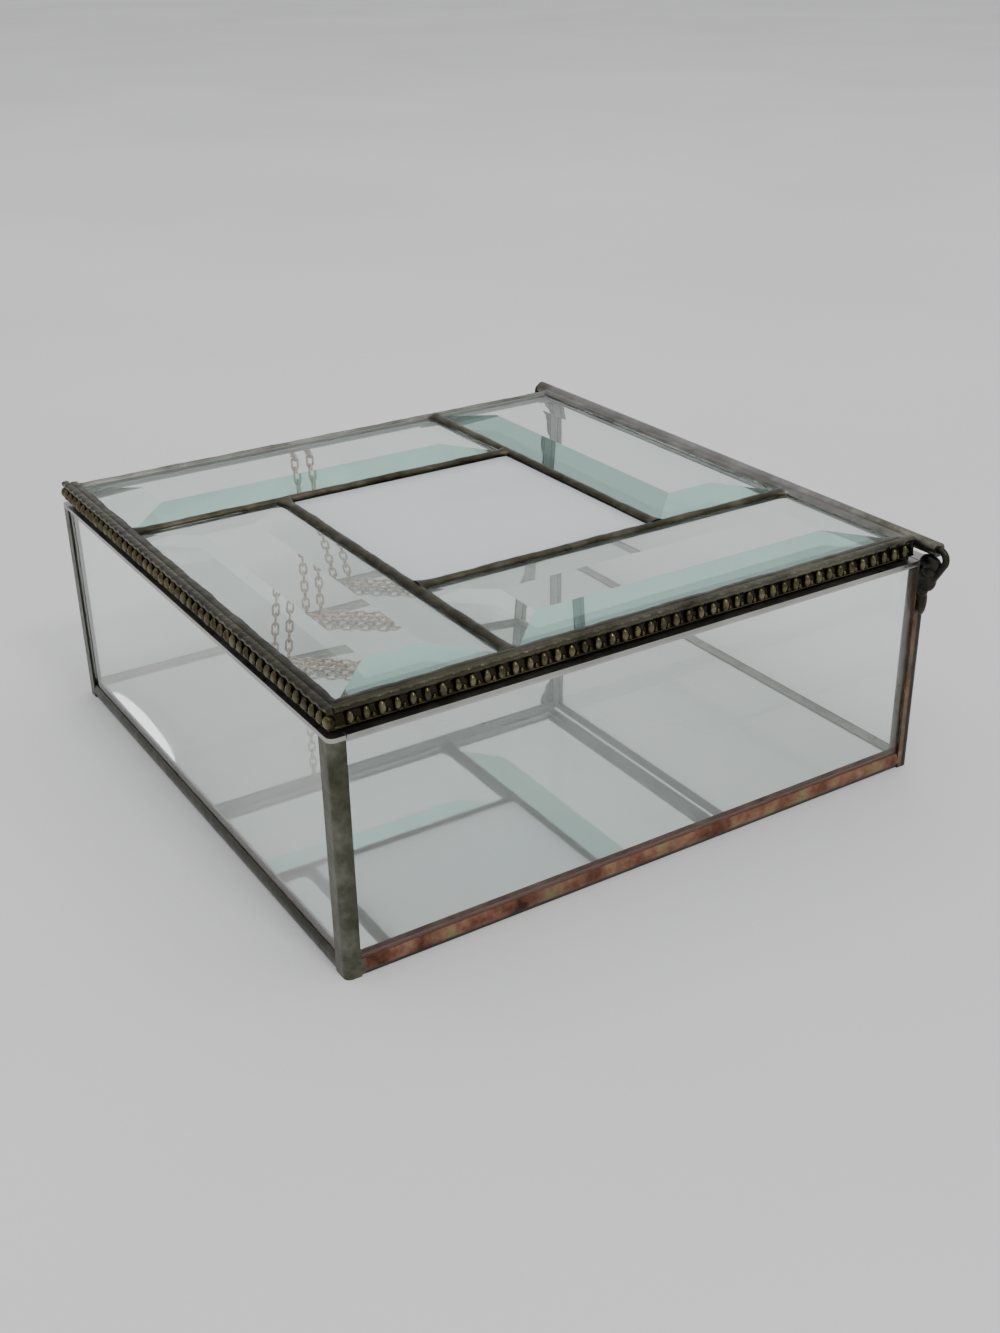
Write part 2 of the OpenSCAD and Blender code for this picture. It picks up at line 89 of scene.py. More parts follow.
class Nodes:
    """Short names for building a material's nodes."""

    def __init__(self, name):
        self.material = bpy.data.materials.new(name)
        self.material.use_nodes = True
        self.tree = self.material.node_tree
        self.shader = self.tree.nodes["Principled BSDF"]
        self.out = self.tree.nodes["Material Output"]
        self.coords = self.tree.nodes.new("ShaderNodeTexCoord")

    def link(self, a, b):
        self.tree.links.new(a, b)

    def set(self, name, value):
        self.shader.inputs[name].default_value = value

    def scaled(self, size):
        mapping = self.tree.nodes.new("ShaderNodeMapping")
        mapping.inputs["Scale"].default_value = size
        self.link(self.coords.outputs["Object"], mapping.inputs["Vector"])
        return mapping.outputs["Vector"]

    def noise(self, scale, detail=4, roughness=0.55, vector=None, distortion=0.0):
        node = self.tree.nodes.new("ShaderNodeTexNoise")
        node.inputs["Scale"].default_value = scale
        node.inputs["Detail"].default_value = detail
        node.inputs["Roughness"].default_value = roughness
        node.inputs["Distortion"].default_value = distortion
        self.link(vector or self.coords.outputs["Object"], node.inputs["Vector"])
        return node.outputs["Fac"]

    def ramp(self, value, stops):
        node = self.tree.nodes.new("ShaderNodeValToRGB")
        ramp = node.color_ramp
        while len(ramp.elements) < len(stops):
            ramp.elements.new(0.5)
        for element, (place, color) in zip(ramp.elements, stops):
            element.position = place
            element.color = (*color, 1) if len(color) == 3 else color
        self.link(value, node.inputs["Fac"])
        return node.outputs["Color"]

    def grey(self, value, low, high, start=0.3, end=0.7):
        node = self.tree.nodes.new("ShaderNodeMapRange")
        node.inputs["From Min"].default_value = start
        node.inputs["From Max"].default_value = end
        node.inputs["To Min"].default_value = low
        node.inputs["To Max"].default_value = high
        self.link(value, node.inputs["Value"])
        return node.outputs["Result"]

    def mix(self, factor, a, b):
        node = self.tree.nodes.new("ShaderNodeMix")
        node.data_type = "RGBA"
        self.plug(node.inputs["Factor"], factor)
        self.plug(node.inputs["A"], a)
        self.plug(node.inputs["B"], b)
        return node.outputs["Result"]

    def math(self, kind, a, b=0.0):
        node = self.tree.nodes.new("ShaderNodeMath")
        node.operation = kind
        self.plug(node.inputs[0], a)
        self.plug(node.inputs[1], b)
        return node.outputs["Value"]

    def place(self, axis):
        """Coordinate of the box along an axis, in millimetres."""
        split = self.tree.nodes.new("ShaderNodeSeparateXYZ")
        self.link(self.coords.outputs["Object"], split.inputs["Vector"])
        return self.math("MULTIPLY", split.outputs[axis], 1 / MM)

    def off(self, axis):
        """Distance from the middle of the box along an axis, in millimetres."""
        return self.math("ABSOLUTE", self.place(axis))

    def step(self, value, low, high):
        """0 below low, 1 above high; falling if low is above high."""
        if low < high:
            return self.grey(value, 0.0, 1.0, low, high)
        return self.grey(value, 1.0, 0.0, high, low)

    def both(self, first, *others):
        """1 where all the masks are 1."""
        for mask in others:
            first = self.math("MULTIPLY", first, mask)
        return first

    def either(self, first, *others):
        """1 where any of the masks is 1."""
        for mask in others:
            first = self.math("MAXIMUM", first, mask)
        return first

    def mottled(self, value, dark, light):
        return self.mix(self.grey(value, 0.0, 1.0), dark, light)

    def glow_through(self, color, share):
        """Lets a share of the light pass through diffusely."""
        glow = self.tree.nodes.new("ShaderNodeBsdfTranslucent")
        self.plug(glow.inputs["Color"], color)
        mixed = self.tree.nodes.new("ShaderNodeMixShader")
        self.plug(mixed.inputs["Fac"], share)
        self.link(self.shader.outputs["BSDF"], mixed.inputs[1])
        self.link(glow.outputs["BSDF"], mixed.inputs[2])
        self.link(mixed.outputs["Shader"], self.out.inputs["Surface"])

    def plug(self, socket, value):
        if isinstance(value, bpy.types.NodeSocket):
            self.link(value, socket)
        elif isinstance(value, (tuple, list)):
            socket.default_value = (*value, 1) if len(value) == 3 else value
        else:
            socket.default_value = value

    def bump(self, height, strength, distance):
        node = self.tree.nodes.new("ShaderNodeBump")
        node.inputs["Strength"].default_value = strength
        node.inputs["Distance"].default_value = distance
        self.link(height, node.inputs["Height"])
        self.link(node.outputs["Normal"], self.shader.inputs["Normal"])


def metal(name, dark, middle, light, rough=(0.25, 0.45), lumps=350, over=None, matte=None):
    """Patinated metal; over(m, tone, broad) lays further tones on it, matte(m) says where it is dull."""
    m = Nodes(name)
    m.set("Metallic", 1.0)
    if matte:
        dull = m.math("MULTIPLY", 0.85, matte(m))
        m.link(m.math("SUBTRACT", 1.0, dull), m.shader.inputs["Metallic"])
    broad = m.noise(90, 5, 0.6)
    fine = m.noise(lumps, 6, 0.6)
    patches = m.math("ADD", m.math("MULTIPLY", broad, 0.65), m.math("MULTIPLY", fine, 0.35))
    tone = m.ramp(patches, [(0.34, dark), (0.5, middle), (0.66, light)])
    if over:
        tone = over(m, tone, broad)
    m.link(tone, m.shader.inputs["Base Color"])
    m.link(m.grey(fine, rough[0], rough[1]), m.shader.inputs["Roughness"])
    m.bump(m.noise(lumps * 0.8, 3, 0.5), 0.4, 0.0006)
    return m.material


def within(m):
    """The faces inside the walls, which are seen through the panes."""
    return m.both(m.step(m.off("X"), 70.6, 70.4), m.step(m.off("Y"), 71.6, 71.4))


def everywhere(m):
    """The foil is dull all over."""
    return 0.8


def nearing_front(m):
    """Rises along the right edge of the lid, towards the front corner."""
    return m.step(m.place("Y"), 25.0, -45.0)


def bare_copper(m, tone, broad):
    """Copper shows along the right bottom seam and on the right back post; the rod's solder is darkest,
    partly painted shade under the tube, and the right seam's foot carries a painted shadow.
    """
    x, y, z = m.place("X"), m.place("Y"), m.place("Z")
    copper = m.ramp(m.noise(160, 5, 0.6), [
        (0.3, (0.06, 0.028, 0.018)),
        (0.44, (0.19, 0.085, 0.055)),
        (0.56, (0.29, 0.155, 0.10)),
        (0.66, (0.30, 0.24, 0.12)),
    ])
    front_seam = m.both(m.step(y, -72.6, -73.0), m.step(x, 69.0, 68.6))
    tone = m.mix(front_seam, tone, m.mix(0.6, tone, (0.03, 0.03, 0.018)))
    pale = m.ramp(broad, [(0.35, (0.34, 0.325, 0.30)), (0.6, (0.50, 0.475, 0.44))])
    tone = m.mix(within(m), tone, pale)
    off_middle = m.math("ABSOLUTE", m.math("ADD", y, -0.7))
    right_side = m.both(m.step(x, 69.6, 69.9), m.step(off_middle, 71.0, 70.2))
    worn = m.grey(m.noise(45, 3), 0.55, 1.0, 0.3, 0.5)
    seam = m.both(right_side, m.step(z, 4.9, 4.4), m.step(z, 0.7, 1.3), worn)
    right_back = m.both(m.step(x, 69.0, 70.0), m.step(y, 66.0, 69.0))
    flecks = m.grey(m.noise(70, 3), 0.15, 0.6, 0.35, 0.6)
    bared = m.both(m.step(x, 72.6, 72.8), m.step(x, 73.7, 73.4), m.step(y, 72.3, 71.8))
    strip = m.both(right_back, bared, m.step(z, 50.5, 48.0), flecks)
    # The back of the right back post is blackened.
    post_back_dark = m.both(right_back, m.step(y, 71.8, 72.3))
    # The rod's solder lumps are painted near-black: dark solder, partly painted shade under the tube's end.
    lump = m.both(m.step(m.off("X"), 73.4, 73.7), m.step(z, 40.0, 42.0))
    # Painted shadow: the foot of the right seam, where it meets the table, is painted near-black.
    under = m.both(right_side, m.step(x, 72.0, 72.7), m.step(z, 1.1, 0.6))
    blackened = m.mottled(broad, (0.02, 0.018, 0.014), (0.06, 0.055, 0.045))
    tone = m.mix(m.either(post_back_dark, lump, under), tone, blackened)
    # The rim and post tops are paler grey: tinned solder, partly a painted highlight on the post tops.
    rim = m.both(m.step(z, 51.6, 51.75), m.step(m.off("X"), 73.7, 73.4))
    tone = m.mix(rim, tone, m.mottled(broad, (0.30, 0.295, 0.275), (0.42, 0.415, 0.39)))
    return m.mix(m.either(seam, strip), tone, copper)


def lid_edges(m, tone, broad):
    """The left and back edges of the lid are greyer than the rest; the front one, turned from the lamps, is
    painted nearly black, painted shade over the dark solder.
    """
    x, y = m.place("X"), m.place("Y")
    blackened = m.ramp(broad, [(0.35, (0.018, 0.016, 0.009)), (0.65, (0.06, 0.054, 0.035))])
    greyed = m.ramp(broad, [(0.35, (0.10, 0.097, 0.085)), (0.65, (0.22, 0.215, 0.195))])
    right = m.both(m.step(x, 67.5, 68.0), 0.6, nearing_front(m))
    # Painted shade: the front edge is painted nearly black; the right edge darkens towards the front
    # corner.
    near = m.either(m.step(y, -69.4, -69.8), right)
    far = m.either(m.step(x, -68.0, -68.6), m.step(y, 66.6, 67.2))
    far = m.both(far, m.step(y, -70.5, -69.0))
    return m.mix(far, m.mix(near, tone, blackened), greyed)


def tinned(m, tone, broad):
    """Foil is tinned over at the top, along the back, in the lid and at the left front post."""
    x, y, z = m.place("X"), m.place("Y"), m.place("Z")
    in_box, in_lid = m.step(z, 50.6, 50.9), m.step(z, 52.4, 52.5)
    right_foot = m.both(m.step(x, 69.6, 69.9), m.step(z, 5.0, 4.6))
    tone = m.mix(right_foot, tone, (0.68, 0.40, 0.31))
    back = m.both(m.step(y, 67.5, 68.5), m.step(x, 69.6, 69.2))
    tone = m.mix(back, tone, m.mottled(broad, (0.20, 0.195, 0.18), (0.34, 0.33, 0.31)))
    tone = m.mix(in_box, tone, m.mottled(broad, (0.34, 0.335, 0.32), (0.47, 0.46, 0.44)))
    dark = m.mottled(broad, (0.02, 0.018, 0.011), (0.075, 0.068, 0.048))
    underside = m.both(m.step(z, 54.5, 54.0), in_lid)
    dark = m.mix(underside, dark, m.mottled(broad, (0.09, 0.086, 0.07), (0.18, 0.175, 0.15)))
    patina = m.both(m.step(x, -67.6, -67.0), m.step(y, 66.0, 65.4), in_lid)
    corner = m.both(m.step(x, -68.4, -68.8), m.step(y, -70.9, -71.0))
    return m.mix(m.either(patina, corner), tone, dark)


def dark_bends(m, tone, broad):
    """The tube is greyer along its middle; the wire is painted near-black where it leaves the tube and down
    its legs, dark solder and partly painted shade under the tube's end.
    """
    x, z = m.place("X"), m.place("Z")
    middle = m.both(m.step(x, 62.0, 40.0), m.step(x, -74.0, -70.0))
    tone = m.mix(middle, tone, m.mottled(broad, (0.17, 0.167, 0.158), (0.29, 0.285, 0.27)))
    # Partly painted shade: the bends and legs are near-black under the tube's end.
    bends = m.both(m.step(m.off("X"), 77.4, 77.9), m.step(z, 57.6, 57.0))
    legs = m.step(z, 54.6, 54.0)
    return m.mix(m.either(bends, legs), tone, (0.035, 0.032, 0.026))


def relief_tone(m, tone, broad):
    """Lobe tips are lighter, worn brass and partly a painted highlight; the ground between and beneath them
    is nearly black, patina and partly painted shade; the ledge grey, painted darker on the front as shade.
    """
    y, z = m.place("Y"), m.place("Z")
    relief = m.tree.nodes.new("ShaderNodeAttribute")
    relief.attribute_name = "relief"
    height = relief.outputs["Fac"]
    # Ground and foot are nearly black: dark patina in the hollows, partly painted shade beneath the lobes.
    ground = m.mix(m.grey(broad, 0.0, 0.6), (0.016, 0.013, 0.007), (0.046, 0.038, 0.02))
    rubbing = m.grey(m.noise(260, 3), 0.0, 1.0, 0.4, 0.62)
    # Lobe tips are lighter: worn brass on the high points, partly a painted highlight.
    rubbed_tips_and_highlight = m.mix(rubbing, (0.055, 0.049, 0.027), (0.165, 0.148, 0.092))
    worn = m.mix(m.step(height, 0.5, 0.9), tone, rubbed_tips_and_highlight)
    worn = m.mix(m.step(height, 0.0, 0.3), ground, worn)
    ledge = m.mottled(broad, (0.045, 0.043, 0.028), (0.15, 0.145, 0.11))
    # Painted shade: the ledge on the front, turned from the lamps, is painted darker; on the right it
    # darkens towards the front corner.
    near = m.either(m.step(y, -72.5, -73.0), m.both(0.7, nearing_front(m)))
    ledge = m.mix(near, ledge, m.mottled(broad, (0.022, 0.02, 0.011), (0.07, 0.064, 0.04)))
    return m.mix(m.step(z, 56.75, 57.0), worn, ledge)


def times(color, factor):
    return tuple(min(1.0, value * factor) for value in color)


def bevel_tones(m, veil, pale, deep):
    """Colour of a bevelled pane, painted refraction: its slopes are painted greener, and the slopes to the
    right and the back pane's front a painted teal.
    """
    x, y = m.place("X"), m.place("Y")
    split = m.tree.nodes.new("ShaderNodeSeparateXYZ")
    m.link(m.coords.outputs["Normal"], split.inputs["Vector"])
    # The normal turns over when a face is seen from inside the glass
    seen_from = m.math("SIGN", split.outputs["Z"])
    level = m.math("ABSOLUTE", split.outputs["Z"])
    sloping = m.both(m.math("GREATER_THAN", level, 0.9), m.math("LESS_THAN", level, 0.9985))
    rightward = m.math("GREATER_THAN", m.both(split.outputs["X"], seen_from), 0.03)
    forward = m.math("LESS_THAN", m.both(split.outputs["Y"], seen_from), -0.03)
    forward = m.both(forward, m.step(y, 0.0, 1.0))
    painted_teal = m.both(sloping, m.either(rightward, forward))
    # Painted refraction: the teal stands for light bent through the slopes, lighter on the right pane,
    # darker on the back pane's front and by the right rim.
    cast = m.mix(m.grey(m.noise(40, 3), 0.0, 1.0, 0.35, 0.65), deep, times(deep, 1.3))
    cast = m.mix(forward, cast, times(deep, 0.68))
    right_pane, right_rim = m.step(x, 45.0, 46.0), m.step(x, 65.6, 66.2)
    cast = m.mix(m.both(rightward, right_pane), cast, times(deep, 1.22))
    cast = m.mix(m.both(rightward, right_rim), cast, times(deep, 0.6))
    return m.mix(painted_teal, m.mix(sloping, veil, pale), cast), painted_teal


GLASS_IOR = 1.52
CLEAR_IOR = 1.2


def glass(name, tint, density, absorb, facets=None):
    """Clear glass; facets gives the painted colours of a bevelled pane's slopes, plain and in the teal of
    painted refraction.
    """
    m = Nodes(name)
    m.set("Transmission Weight", 1.0)
    m.set("IOR", GLASS_IOR)
    smear = m.noise(60, 5, 0.65)
    m.link(m.grey(smear, 0.0, 0.018, 0.45, 0.8), m.shader.inputs["Roughness"])
    veil = m.mix(m.grey(smear, 0.0, 0.06, 0.5, 0.75), tint, (0.98, 0.98, 0.98))
    if facets:
        # At full bending, light trapped between the slopes would blacken the left and back panes
        left = m.step(m.place("X"), -31.0, -31.6)
        back = m.both(m.step(m.place("Y"), 30.0, 30.6), m.step(m.place("X"), 32.0, 31.4))
        m.link(m.grey(m.either(left, back), GLASS_IOR, CLEAR_IOR), m.shader.inputs["IOR"])
        veil, painted_teal = bevel_tones(m, veil, *facets)
        m.set("Coat Weight", 0.12)
        m.set("Coat Roughness", 0.01)
        m.glow_through(veil, m.grey(painted_teal, 0.05, 0.12))
    m.link(veil, m.shader.inputs["Base Color"])
    m.bump(m.noise(14, 2, 0.4), 0.02, 0.002)
    volume = m.tree.nodes.new("ShaderNodeVolumeAbsorption")
    volume.inputs["Color"].default_value = (*absorb, 1)
    volume.inputs["Density"].default_value = density
    m.link(volume.outputs["Volume"], m.out.inputs["Volume"])
    return m.material


def opal(name):
    m = Nodes(name)
    drawn = m.scaled((1.0, 0.35, 1.0))
    wisps = m.noise(38, 5, 0.55, drawn, 1.6)
    tone = m.ramp(wisps, [(0.3, (0.86, 0.86, 0.96)), (0.5, (0.92, 0.95, 0.98)), (0.7, (0.98, 0.99, 0.99))])
    m.link(tone, m.shader.inputs["Base Color"])
    m.set("Coat Weight", 0.4)
    m.set("Coat Roughness", 0.03)
    m.link(m.grey(m.noise(120, 4), 0.12, 0.25), m.shader.inputs["Roughness"])
    m.bump(m.noise(45, 3, 0.5, drawn, 1.0), 0.05, 0.001)
    m.glow_through((0.98, 1.0, 1.0), 0.55)
    return m.material


def mirror(name):
    m = Nodes(name)
    m.set("Metallic", 0.72)
    haze = m.noise(35, 5, 0.6)
    tone = m.ramp(haze, [(0.3, (0.80, 0.84, 0.83)), (0.7, (0.85, 0.88, 0.875))])
    m.link(tone, m.shader.inputs["Base Color"])
    m.link(m.grey(haze, 0.02, 0.045, 0.4, 0.8), m.shader.inputs["Roughness"])
    return m.material


def paint(name):
    m = Nodes(name)
    tone = m.ramp(m.noise(300, 5), [(0.3, (0.10, 0.10, 0.11)), (0.7, (0.17, 0.17, 0.18))])
    m.link(tone, m.shader.inputs["Base Color"])
    m.link(m.grey(m.noise(500, 3), 0.5, 0.8), m.shader.inputs["Roughness"])
    m.bump(m.noise(900, 3), 0.15, 0.0003)
    return m.material


def table(name):
    m = Nodes(name)
    grain = m.noise(900, 4, 0.6)
    cloud = m.noise(3.5, 3, 0.5)
    pale = m.ramp(cloud, [(0.3, (0.71, 0.71, 0.72)), (0.7, (0.78, 0.78, 0.785))])
    m.link(m.mix(m.grey(grain, 0.0, 0.10), pale, (0.64, 0.64, 0.655)), m.shader.inputs["Base Color"])
    m.link(m.grey(grain, 0.55, 0.75), m.shader.inputs["Roughness"])
    m.bump(grain, 0.12, 0.0004)
    return m.material


LOOKS = {
    "clear_glass": glass("clear_glass", (0.965, 0.98, 0.97), 5, (0.6, 0.9, 0.8)),
    # The bevel's facet colours are painted refraction: greener slopes and a teal.
    "bevel_glass": glass("bevel_glass", (0.965, 0.985, 0.975), 8, (0.5, 0.92, 0.85),
                         facets=((0.86, 0.96, 0.92), (0.33, 0.66, 0.55))),
    "opal_glass": opal("opal_glass"),
    "mirror_glass": mirror("mirror_glass"),
    "backing_paint": paint("backing_paint"),
    "copper_foil": metal("copper_foil", (0.42, 0.31, 0.24), (0.55, 0.43, 0.36), (0.66, 0.54, 0.47),
                         (0.28, 0.45), over=tinned, matte=everywhere),
    "solder_grey": metal("solder_grey", (0.035, 0.036, 0.025), (0.08, 0.08, 0.06), (0.16, 0.157, 0.13),
                         over=bare_copper, matte=within),
    "solder_dark": metal("solder_dark", (0.024, 0.022, 0.013), (0.055, 0.05, 0.032), (0.115, 0.105, 0.075),
                         over=lid_edges),
    "banding_brass": metal("banding_brass", (0.03, 0.025, 0.011), (0.07, 0.058, 0.026), (0.13, 0.11, 0.055),
                           (0.16, 0.32), 700, over=relief_tone),
    "hinge_brass": metal("hinge_brass", (0.05, 0.047, 0.04), (0.12, 0.115, 0.09), (0.24, 0.23, 0.19),
                         over=dark_bends),
    "chain_copper": metal("chain_copper", (0.38, 0.25, 0.18), (0.56, 0.40, 0.31), (0.72, 0.56, 0.46),
                          (0.2, 0.35), 900),
}


def dress_nodes():
    """Materials by slot; glass stands a hair off the foil, so that no two faces share a plane."""
    slots = {part["node"]: part["material_slot"] for part in frame["record"]["subparts"]}
    for name, piece in nodes.items():
        piece.data.materials.clear()
        piece.data.materials.append(LOOKS[slots[name]])
        if slots[name].endswith("_glass") and slots[name] != "mirror_glass":
            clear_of_foil = piece.modifiers.new("clear_of_foil", "DISPLACE")
            clear_of_foil.strength = -0.02 * MM
            clear_of_foil.mid_level = 0.0


def smooth_by_angle(piece, degrees):
    for polygon in piece.data.polygons:
        polygon.use_smooth = True
    piece.data.set_sharp_from_angle(angle=math.radians(degrees))


# Raised pieces with the unevenness of hand soldering

def wave(seed, s, *lengths):
    """Smooth repeatable unevenness, about -1 to 1, at s millimetres along a run."""
    total = 0.0
    for i, length in enumerate(lengths):
        total += math.sin(2 * math.pi * s / length + seed * 1.7 + i * 2.3) / (1 + 0.6 * i)
    return total / sum(1 / (1 + 0.6 * i) for i in range(len(lengths)))


def new_piece(name, mesh):
    data = bpy.data.meshes.new(name)
    mesh.to_mesh(data)
    mesh.free()
    piece = bpy.data.objects.new(name, data)
    bpy.context.scene.collection.objects.link(piece)
    return piece


def skin(name, rings):
    """A closed mesh through rings of points, one ring to a station."""
    mesh = bmesh.new()
    made = [[mesh.verts.new(point) for point in ring] for ring in rings]
    count = len(rings[0])
    for low, high in zip(made, made[1:]):
        for i in range(count):
            j = (i + 1) % count
            mesh.faces.new((low[i], low[j], high[j], high[i]))
    mesh.faces.new(made[0])
    mesh.faces.new(list(reversed(made[-1])))
    bmesh.ops.recalc_face_normals(mesh, faces=mesh.faces)
    return new_piece(name, mesh)


def sweep(name, start, end, out, profile, step=1.2, seed=0.0, uneven=(0.05, 0.08), flare=(0, 0), reach=1.6):
    """A straight run from start to end in millimetres; profile(width, height) gives points as (out, up)."""
    start, end, out = Vector(start), Vector(end), Vector(out)
    along = (end - start).normalized()
    length = (end - start).length
    up = out.cross(along)
    if up.z < -0.5 or (abs(up.z) < 0.5 and up.y > 0.5):
        up = -up
    stations = max(2, round(length / step))
    rings = []
    for k in range(stations + 1):
        s = length * k / stations
        width = 1 + uneven[0] * wave(seed, s, 17.0, 7.3, 3.1)
        height = 1 + uneven[1] * wave(seed + 5, s, 23.0, 9.1, 4.3)
        for grow, distance in zip(flare, (s, length - s)):
            width += grow * math.exp(-((distance / reach) ** 2))
            height += 0.3 * grow * math.exp(-((distance / reach) ** 2))
        rings.append([(start + along * s + out * u + up * v) * MM for u, v in profile(width, height)])
    return skin(name, rings)


def ball(name, place, radii, segments=18, turned=0.0):
    mesh = bmesh.new()
    bmesh.ops.create_uvsphere(mesh, u_segments=segments, v_segments=segments * 2 // 3, radius=1)
    shape = Matrix.Rotation(turned, 3, "Z") @ Matrix.Diagonal(radii)
    for vert in mesh.verts:
        vert.co = (Vector(place) + shape @ vert.co) * MM
    return new_piece(name, mesh)


def finish_piece(piece, body, slot, replaced, degrees=50):
    piece.data.materials.clear()
    piece.data.materials.append(LOOKS[slot])
    smooth_by_angle(piece, degrees)
    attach(piece, body)
    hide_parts(*replaced)


def join(name, parts):
    """One object out of several meshes."""
    mesh = bmesh.new()
    for part in parts:
        mesh.from_mesh(part.data)
        old = part.data
        bpy.data.objects.remove(part)
        bpy.data.meshes.remove(old)
    return new_piece(name, mesh)


def bead_profile(half, base, top, points=12):
    """Rounded bead on a flat base; a top below the base hangs down."""
    def profile(width, height):
        w = half * width
        crown = (top - base) * height
        return [(w * math.cos(math.pi * i / points), base + crown * math.sin(math.pi * i / points) ** 0.8)
                for i in range(points + 1)]
    return profile


# The lid, in millimetres
LID_Y = -1.35  # its middle
HALF = 70.0  # half its glass
SEAM = 31.75  # the pinwheel's seams
UNDER = 53.3  # under faces of the panes
OVER = 56.85  # upper faces at the seams
SUNK = 0.05  # how far solder reaches into the foil


def make_arms():
    """The pinwheel's four seams, a bead above and a flatter one below."""
    near = HALF - 0.9
    runs = {
        "arm_front": ((-SEAM, -near), (-SEAM, SEAM - 0.5), (1, 0, 0)),
        "arm_right": ((near, -SEAM), (0.5 - SEAM, -SEAM), (0, 1, 0)),
        "arm_back": ((SEAM, near), (SEAM, 0.5 - SEAM), (1, 0, 0)),
        "arm_left": ((-near, SEAM), (SEAM - 0.5, SEAM), (0, 1, 0)),
    }
    crest = bead_profile(1.2, OVER - SUNK, OVER + 0.91)
    keel = bead_profile(1.2, UNDER - SUNK, UNDER - 0.45)
    for seed, (node, (start, end, out)) in enumerate(runs.items()):
        start, end = (start[0], start[1] + LID_Y, 0), (end[0], end[1] + LID_Y, 0)
        upper = sweep("upper", start, end, out, crest, 1.0, seed, (0.13, 0.12), (0.8, 0.9))
        lower = sweep("lower", start, end, out, keel, 1.0, seed + 9, (0.1, 0.2), (0.4, 0.4))
        finish_piece(join(node + "_solder", [upper, lower]), "lid", "solder_dark", [node])


def edge_section(out, lap, top):
    """Solder round the edge of the glass: over it, down its side and under it."""
    def profile(width, height):
        inner = -lap * width
        crown = top - 0.2 + 0.2 * height
        above = [(inner, OVER - 0.1), (inner + 0.12, OVER + 0.25), (inner + 0.4, crown - 0.3),
                 (inner + 0.8, crown - 0.06), (out - 0.5, crown), (out - 0.12, crown - 0.14)]
        side = [(out, crown - 0.45), (out, UNDER - 0.3)]
        below = [(out - 0.25, UNDER - 0.6), (-0.4, UNDER - 0.62), (0.25 - lap, UNDER - 0.45),
                 (-lap, UNDER - 0.1)]
        glass_edge = [(0.1, UNDER - 0.04), (0.1, OVER - SUNK)]
        return above + side + below + glass_edge
    return profile


def make_edges():
    """The banded edges are thicker and higher than the bare one on the left."""
    corner, far = HALF + 1.0, HALF - 0.6
    banded, bare = (1.0, 1.5, 58.1), (0.7, 0.75, 57.6)
    runs = {
        "edge_front": ((-corner, -HALF), (corner, -HALF), (0, -1, 0), *banded),
        "edge_right": ((HALF, 0.2 - HALF), (HALF, far), (1, 0, 0), *banded),
        "edge_left": ((-HALF, far), (-HALF, 0.2 - HALF), (-1, 0, 0), *bare),
    }
    for seed, (node, (start, end, out, thick, lap, top)) in enumerate(runs.items()):
        start, end = (start[0], start[1] + LID_Y, 0), (end[0], end[1] + LID_Y, 0)
        section = edge_section(thick, lap, top)
        piece = sweep(node + "_solder", start, end, out, section, 1.2, seed + 20, (0.14, 0.5))
        finish_piece(piece, "lid", "solder_dark", [node])


def make_banding():
    """Stamped brass strip: a rolled ledge above, a row of lobes, and a small bead between each two."""
    low, high = 53.7, 58.2
    pitch = 3.16
    lobe_z = 55.4
    runs = {
        "banding_front": ((0, -HALF + LID_Y), (1, 0), (0, -1), 144.4),
        "banding_right": ((HALF, LID_Y), (0, 1), (1, 0), 142.0),
    }
    for seed, (node, (middle, along, out, long)) in enumerate(runs.items()):
        centre, along, out = Vector((*middle, 0)), Vector((*along, 0)), Vector((*out, 0))
        lobes = math.floor((long - pitch / 2) / pitch)
        steps = lobes * 8
        shift = 0 if lobes % 2 else math.pi
        rings = []
        for k in range(steps + 1):
            s = -long / 2 + long * k / steps
            dent = 0.05 * wave(seed, s, 31.0, 11.0, 5.0)
            scallop = 0.09 * (1 + math.cos(2 * math.pi * s / pitch + shift))
            foot = [(1.0, low), (2.05, low), (2.3 + dent, low + 0.1), (2.32 + dent, low + 0.3),
                    (2.1, low + 0.45)]
            ground = [(2.08, lobe_z), (2.1, lobe_z + 1.3)]
            lip = 2.3 + scallop * 0.6
            rolled = 2.42 + scallop + dent
            ledge = [(lip, lobe_z + 1.5), (rolled, lobe_z + 1.9), (rolled + 0.02, high - 0.5),
                     (lip + dent, high - 0.18), (2.0, high - 0.02 + dent * 0.4), (1.0, high - 0.02)]
            section = foot + ground + ledge
            rings.append([(centre + along * s + out * u + Vector((0, 0, v))) * MM for u, v in section])
        parts = [skin("strip", rings)]
        turned = math.atan2(along.y, along.x)
        for i in range(2 * lobes - 1):
            s = (i / 2 - (lobes - 1) / 2) * pitch
            size = 1 + 0.07 * wave(seed + 3, s, 13.0, 6.1)
            place = centre + along * (s + 0.1 * wave(seed + 8, s, 9.0, 17.0)) + out * 2.0
            if i % 2 == 0:
                place.z = lobe_z
                parts.append(ball("lobe", place, (0.88 * size, 1.2 * size, 1.5 * size), 18, turned))
            else:
                place.z = lobe_z - 0.9
                parts.append(ball("small", place, (0.5, 0.6, 0.6 * size), 12, turned))
        if node == "banding_front":
            corner_y = -HALF + LID_Y - 1.95
            parts.append(ball("corner", (72.0, corner_y, lobe_z), (1.2, 1.2, 1.4)))
            parts.append(ball("corner", (-71.9, corner_y, lobe_z), (1.1, 1.1, 1.3)))
        piece = join(node + "_strip_and_lobes", parts)
        relief = piece.data.attributes.new("relief", "FLOAT", "POINT")
        for vert, value in zip(piece.data.vertices, relief.data):
            stands = (vert.co / MM - centre).dot(out)
            value.value = min(1.0, max(0.0, (stands - 2.1) / 1.0))
        finish_piece(piece, "lid", "banding_brass", [node], 60)


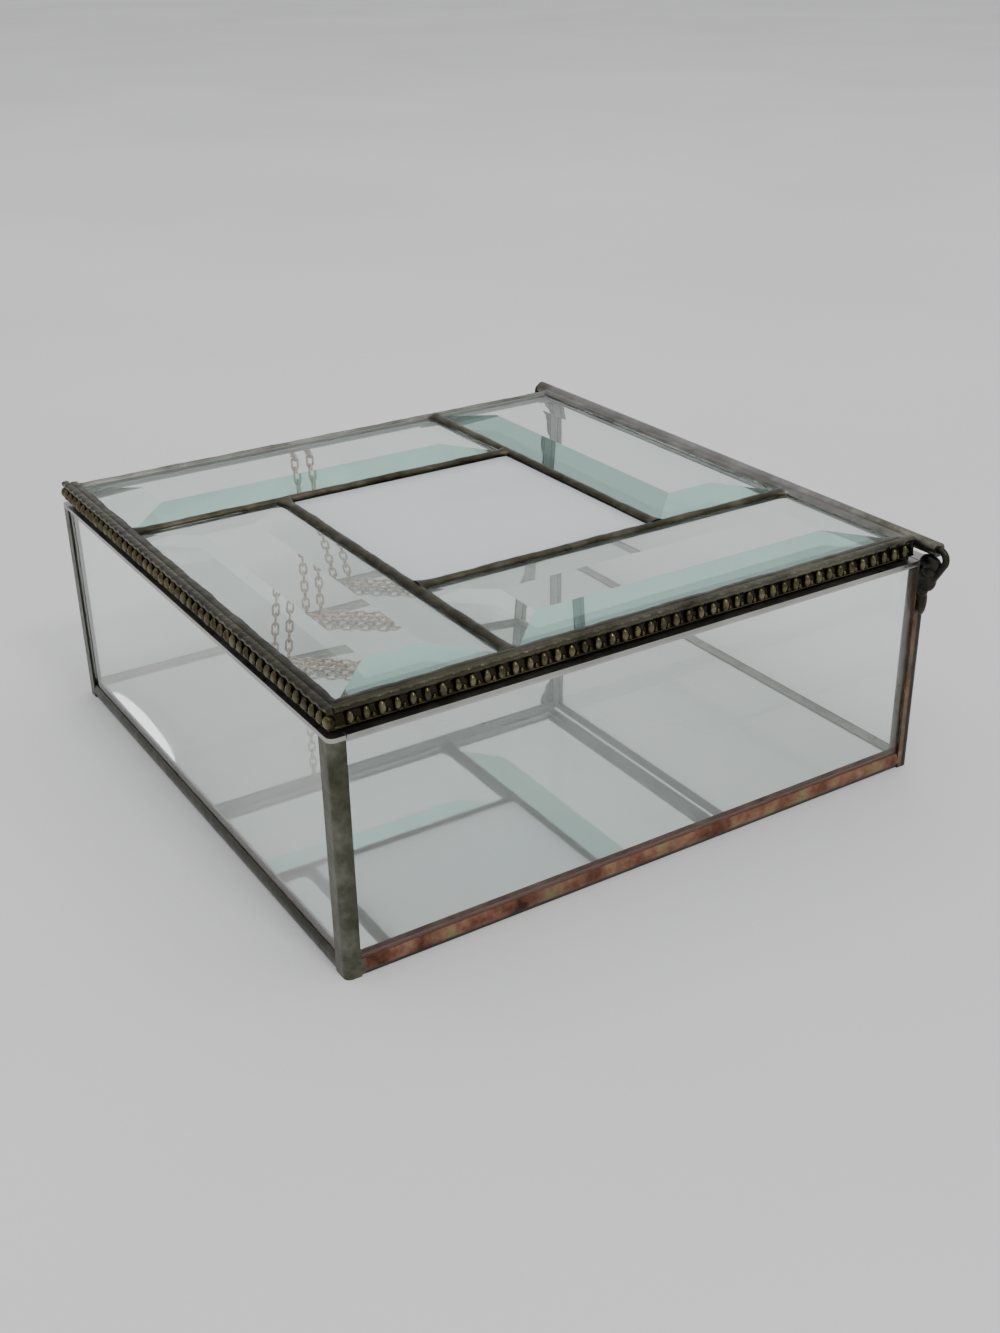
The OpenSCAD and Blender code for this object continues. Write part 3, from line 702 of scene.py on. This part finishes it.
def make_rod_solder():
    """Lumps of solder that hold the rod's legs to the back posts."""
    lumps = [
        ((75.0, 71.65, 48.6), (2.5, 1.75, 2.9)),
        ((75.6, 71.6, 50.6), (2.3, 1.5, 1.5)),
        ((74.0, 71.7, 46.0), (1.4, 1.5, 2.2)),
        ((75.6, 71.65, 52.6), (3.0, 1.4, 2.0)),
        ((74.2, 71.9, 43.0), (0.9, 1.3, 3.4)),
    ]
    for side, node in ((1, "rod_joint_right"), (-1, "rod_joint_left")):
        parts = [ball("lump", (side * x, y, z), radii, 24) for (x, y, z), radii in lumps]
        finish_piece(join(node + "_lump", parts), "box", "solder_grey", [node])


# Floor and light

def make_floor():
    mesh = bpy.data.meshes.new("floor")
    reach = 6.0
    corners = [(-reach, -reach, 0), (reach, -reach, 0), (reach, reach, 0), (-reach, reach, 0)]
    mesh.from_pydata(corners, [], [(0, 1, 2, 3)])
    floor = bpy.data.objects.new("floor", mesh)
    bpy.context.scene.collection.objects.link(floor)
    floor.data.materials.append(table("table"))


def area_light(name, place, aim, size, power, color=(1, 1, 1), roll=0.0, shape="RECTANGLE"):
    data = bpy.data.lights.new(name, "AREA")
    data.shape = shape
    data.size, data.size_y = size
    data.energy = power
    data.color = color
    light = bpy.data.objects.new(name, data)
    light.location = place
    facing = (Vector(aim) - Vector(place)).to_track_quat("-Z", "Y")
    light.rotation_euler = (facing @ Quaternion((0, 0, 1), math.radians(roll))).to_euler()
    bpy.context.scene.collection.objects.link(light)


def make_light():
    world = bpy.data.worlds.new("studio")
    bpy.context.scene.world = world
    world.use_nodes = True
    background = world.node_tree.nodes["Background"]
    background.inputs["Color"].default_value = (0.985, 0.99, 1.0, 1)
    background.inputs["Strength"].default_value = 0.74
    warm = (1, 0.985, 0.95)
    area_light("ceiling", (0, 0, 1.6), (0, 0, 0), (2.2, 2.2), 13)
    area_light("key", (1.3, 0.1, 1.6), (0, 0, 0.03), (0.3, 0.3), 9, warm)
    # A slim lamp whose image lies in the mirror floor beside the front seam
    beside_seam = (-0.04, -0.072, 0.0033)
    area_light("slit", (-0.4204, 0.0467, 0.2117), beside_seam, (0.012, 0.05), 0.0056, warm, 32, "ELLIPSE")


place_camera()
dress_nodes()
make_arms()
make_edges()
make_banding()
make_rod_solder()
make_floor()
make_light()
